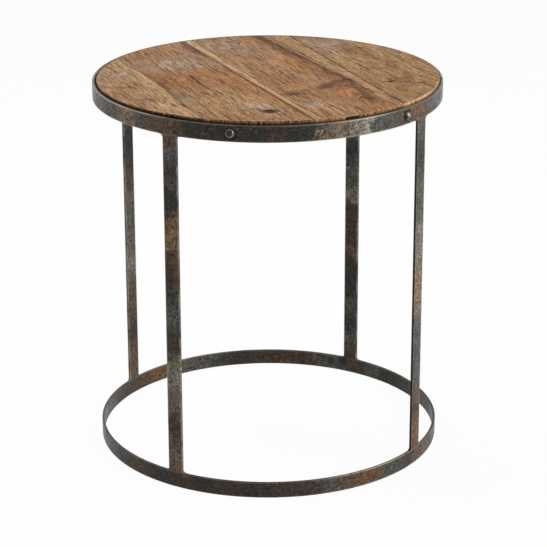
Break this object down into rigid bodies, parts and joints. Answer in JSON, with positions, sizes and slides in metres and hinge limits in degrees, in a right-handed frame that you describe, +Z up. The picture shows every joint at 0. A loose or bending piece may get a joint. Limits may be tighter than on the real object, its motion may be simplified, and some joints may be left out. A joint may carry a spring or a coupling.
{
  "type": "side table",
  "caption": "Round side table: reclaimed plank top set inside a rolled iron hoop, flat-bar iron legs, and an open iron hoop as the base.",
  "frame": {"origin": "on the floor, at the centre of the lower hoop", "axes": "+Z up, -Y towards the front; the legs stand on the four diagonals and the boards run 9.8 degrees off the Y axis"},
  "size_m": [0.5599, 0.56, 0.612],
  "materials": {
    "iron": "raw patinated flat bar, waxed",
    "rivet_iron": "dome heads, worn at the crown",
    "plank_wood": "reclaimed pine, brushed and lightly waxed",
    "batten_wood": "sawn softwood, unfinished",
    "nail_iron": "plain cut nails, dull"
  },
  "bodies": {
    "root": {"upper_hoop": "iron", "lower_hoop": "iron", "leg_front_left": "iron", "leg_front_right": "iron", "leg_back_right": "iron", "leg_back_left": "iron", "upper_leg_welds": "iron", "lower_leg_welds": "iron", "plank_left": "plank_wood", "plank_mid_left": "plank_wood", "plank_mid_right": "plank_wood", "plank_right": "plank_wood", "batten_front": "batten_wood", "batten_back": "batten_wood", "left_seam_tongue": "batten_wood", "middle_seam_tongue": "batten_wood", "right_seam_tongue": "batten_wood", "front_batten_nails": "nail_iron", "back_batten_nails": "nail_iron", "hoop_rivets": "rivet_iron"}
  },
  "joints": []
}
